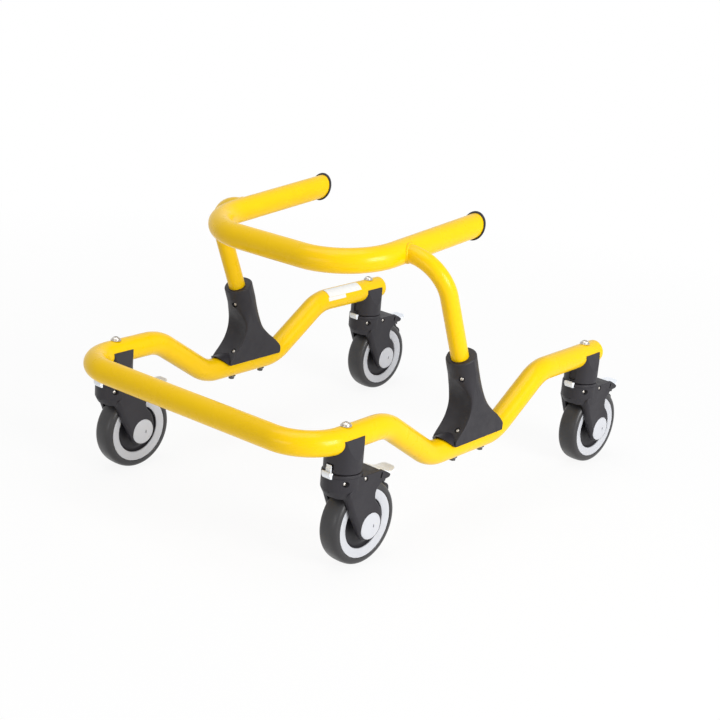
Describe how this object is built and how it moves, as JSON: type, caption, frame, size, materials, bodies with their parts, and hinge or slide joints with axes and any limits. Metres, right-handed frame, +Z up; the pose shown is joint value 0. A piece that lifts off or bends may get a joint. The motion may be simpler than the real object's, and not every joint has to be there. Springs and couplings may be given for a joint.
{
  "type": "posterior gait trainer",
  "caption": "Tubular posterior gait trainer with an open front, a raised U handlebar on leaning posts, and swivel casters with brake pedals and direction locks.",
  "frame": {"origin": "on the floor, midway between the legs and midway along the trainer, caster wheels included", "axes": "+Z up, +Y towards the closed rear bar, +X towards the user's left; the user walks towards -Y"},
  "size_m": [0.5398, 0.8294, 0.4634],
  "materials": {
    "frame_paint": "glossy yellow powder coat",
    "black_plastic": "satin moulded black plastic",
    "tyre_rubber": "smooth black rubber",
    "white_plastic": "smooth white plastic",
    "grey_plastic": "pale grey translucent plastic",
    "zinc_steel": "bright zinc plated steel"
  },
  "bodies": {
    "frame": {"base_tube": "frame_paint", "upper_frame": "frame_paint", "base_end_plug_left": "black_plastic", "base_end_plug_right": "black_plastic", "handlebar_plug_left": "black_plastic", "handlebar_plug_right": "black_plastic", "post_bracket_left": "black_plastic", "post_bracket_right": "black_plastic", "stem_housing_rear_left": "black_plastic", "stem_bolt_rear_left": "zinc_steel", "stem_housing_rear_right": "black_plastic", "stem_bolt_rear_right": "zinc_steel", "stem_housing_front_left": "black_plastic", "stem_bolt_front_left": "zinc_steel", "stem_housing_front_right": "black_plastic", "stem_bolt_front_right": "zinc_steel"},
    "caster_rear_left": {"fork_rear_left": "black_plastic", "pedal_pin_rear_left": "zinc_steel", "axle_rear_left": "zinc_steel", "hub_cap_outer_rear_left": "white_plastic", "hub_cap_inner_rear_left": "white_plastic"},
    "lock_rear_left": {"direction_lock_rear_left": "grey_plastic"},
    "pedal_rear_left": {"brake_pedal_rear_left": "grey_plastic"},
    "shoe_rear_left": {"brake_shoe_rear_left": "black_plastic"},
    "wheel_rear_left": {"tyre_rear_left": "tyre_rubber", "wheel_rim_rear_left": "white_plastic", "wheel_centre_rear_left": "black_plastic"},
    "caster_rear_right": {"fork_rear_right": "black_plastic", "pedal_pin_rear_right": "zinc_steel", "axle_rear_right": "zinc_steel", "hub_cap_outer_rear_right": "white_plastic", "hub_cap_inner_rear_right": "white_plastic"},
    "lock_rear_right": {"direction_lock_rear_right": "grey_plastic"},
    "pedal_rear_right": {"brake_pedal_rear_right": "grey_plastic"},
    "shoe_rear_right": {"brake_shoe_rear_right": "black_plastic"},
    "wheel_rear_right": {"tyre_rear_right": "tyre_rubber", "wheel_rim_rear_right": "white_plastic", "wheel_centre_rear_right": "black_plastic"},
    "caster_front_left": {"fork_front_left": "black_plastic", "pedal_pin_front_left": "zinc_steel", "axle_front_left": "zinc_steel", "hub_cap_outer_front_left": "white_plastic", "hub_cap_inner_front_left": "white_plastic"},
    "lock_front_left": {"direction_lock_front_left": "grey_plastic"},
    "pedal_front_left": {"brake_pedal_front_left": "grey_plastic"},
    "shoe_front_left": {"brake_shoe_front_left": "black_plastic"},
    "wheel_front_left": {"tyre_front_left": "tyre_rubber", "wheel_rim_front_left": "white_plastic", "wheel_centre_front_left": "black_plastic"},
    "caster_front_right": {"fork_front_right": "black_plastic", "pedal_pin_front_right": "zinc_steel", "axle_front_right": "zinc_steel", "hub_cap_outer_front_right": "white_plastic", "hub_cap_inner_front_right": "white_plastic"},
    "lock_front_right": {"direction_lock_front_right": "grey_plastic"},
    "pedal_front_right": {"brake_pedal_front_right": "grey_plastic"},
    "shoe_front_right": {"brake_shoe_front_right": "black_plastic"},
    "wheel_front_right": {"tyre_front_right": "tyre_rubber", "wheel_rim_front_right": "white_plastic", "wheel_centre_front_right": "black_plastic"}
  },
  "joints": [
    {"name": "swivel_rear_left", "type": "hinge", "parent": "frame", "child": "caster_rear_left", "pos_m": [0.2393, 0.318, 0.154], "axis": [0, 0, 1], "continuous": true},
    {"name": "roll_rear_left", "type": "hinge", "parent": "caster_rear_left", "child": "wheel_rear_left", "pos_m": [0.23757, 0.27834, 0.065], "axis": [0.999, -0.0436, 0], "continuous": true},
    {"name": "brake_pedal_rear_left", "type": "hinge", "parent": "caster_rear_left", "child": "pedal_rear_left", "pos_m": [0.23843, 0.29802, 0.1435], "axis": [0.999, -0.0436, 0], "range_deg": [0, 6]},
    {"name": "brake_shoe_rear_left", "type": "hinge", "parent": "caster_rear_left", "child": "shoe_rear_left", "pos_m": [0.23699, 0.26505, 0.141], "axis": [0.999, -0.0436, 0], "range_deg": [0, 1.5]},
    {"name": "direction_lock_rear_left", "type": "slide", "parent": "caster_rear_left", "child": "lock_rear_left", "axis": [0, 0, 1], "range_m": [0, 0.0105]},
    {"name": "swivel_rear_right", "type": "hinge", "parent": "frame", "child": "caster_rear_right", "pos_m": [-0.2393, 0.318, 0.154], "axis": [0, 0, 1], "continuous": true},
    {"name": "roll_rear_right", "type": "hinge", "parent": "caster_rear_right", "child": "wheel_rear_right", "pos_m": [-0.24103, 0.27834, 0.065], "axis": [0.999, -0.0436, 0], "continuous": true},
    {"name": "brake_pedal_rear_right", "type": "hinge", "parent": "caster_rear_right", "child": "pedal_rear_right", "pos_m": [-0.24017, 0.29802, 0.1435], "axis": [0.999, -0.0436, 0], "range_deg": [0, 6]},
    {"name": "brake_shoe_rear_right", "type": "hinge", "parent": "caster_rear_right", "child": "shoe_rear_right", "pos_m": [-0.24161, 0.26505, 0.141], "axis": [0.999, -0.0436, 0], "range_deg": [0, 1.5]},
    {"name": "direction_lock_rear_right", "type": "slide", "parent": "caster_rear_right", "child": "lock_rear_right", "axis": [0, 0, 1], "range_m": [-0.0105, 0]},
    {"name": "swivel_front_left", "type": "hinge", "parent": "frame", "child": "caster_front_left", "pos_m": [0.2393, -0.31, 0.154], "axis": [0, 0, 1], "continuous": true},
    {"name": "roll_front_left", "type": "hinge", "parent": "caster_front_left", "child": "wheel_front_left", "pos_m": [0.23757, -0.34966, 0.065], "axis": [0.999, -0.0436, 0], "continuous": true},
    {"name": "brake_pedal_front_left", "type": "hinge", "parent": "caster_front_left", "child": "pedal_front_left", "pos_m": [0.23843, -0.32998, 0.1435], "axis": [0.999, -0.0436, 0], "range_deg": [0, 6]},
    {"name": "brake_shoe_front_left", "type": "hinge", "parent": "caster_front_left", "child": "shoe_front_left", "pos_m": [0.23699, -0.36295, 0.141], "axis": [0.999, -0.0436, 0], "range_deg": [0, 1.5]},
    {"name": "direction_lock_front_left", "type": "slide", "parent": "caster_front_left", "child": "lock_front_left", "axis": [0, 0, 1], "range_m": [0, 0.0105]},
    {"name": "swivel_front_right", "type": "hinge", "parent": "frame", "child": "caster_front_right", "pos_m": [-0.2393, -0.31, 0.154], "axis": [0, 0, 1], "continuous": true},
    {"name": "roll_front_right", "type": "hinge", "parent": "caster_front_right", "child": "wheel_front_right", "pos_m": [-0.24103, -0.34966, 0.065], "axis": [0.999, -0.0436, 0], "continuous": true},
    {"name": "brake_pedal_front_right", "type": "hinge", "parent": "caster_front_right", "child": "pedal_front_right", "pos_m": [-0.24017, -0.32998, 0.1435], "axis": [0.999, -0.0436, 0], "range_deg": [0, 6]},
    {"name": "brake_shoe_front_right", "type": "hinge", "parent": "caster_front_right", "child": "shoe_front_right", "pos_m": [-0.24161, -0.36295, 0.141], "axis": [0.999, -0.0436, 0], "range_deg": [0, 1.5]},
    {"name": "direction_lock_front_right", "type": "slide", "parent": "caster_front_right", "child": "lock_front_right", "axis": [0, 0, 1], "range_m": [0, 0.0105]}
  ],
  "couplings": [
    {"joint": "brake_shoe_rear_left", "follows": "brake_pedal_rear_left", "ratio": 0.25},
    {"joint": "brake_shoe_rear_right", "follows": "brake_pedal_rear_right", "ratio": 0.25},
    {"joint": "brake_shoe_front_left", "follows": "brake_pedal_front_left", "ratio": 0.25},
    {"joint": "brake_shoe_front_right", "follows": "brake_pedal_front_right", "ratio": 0.25}
  ]
}
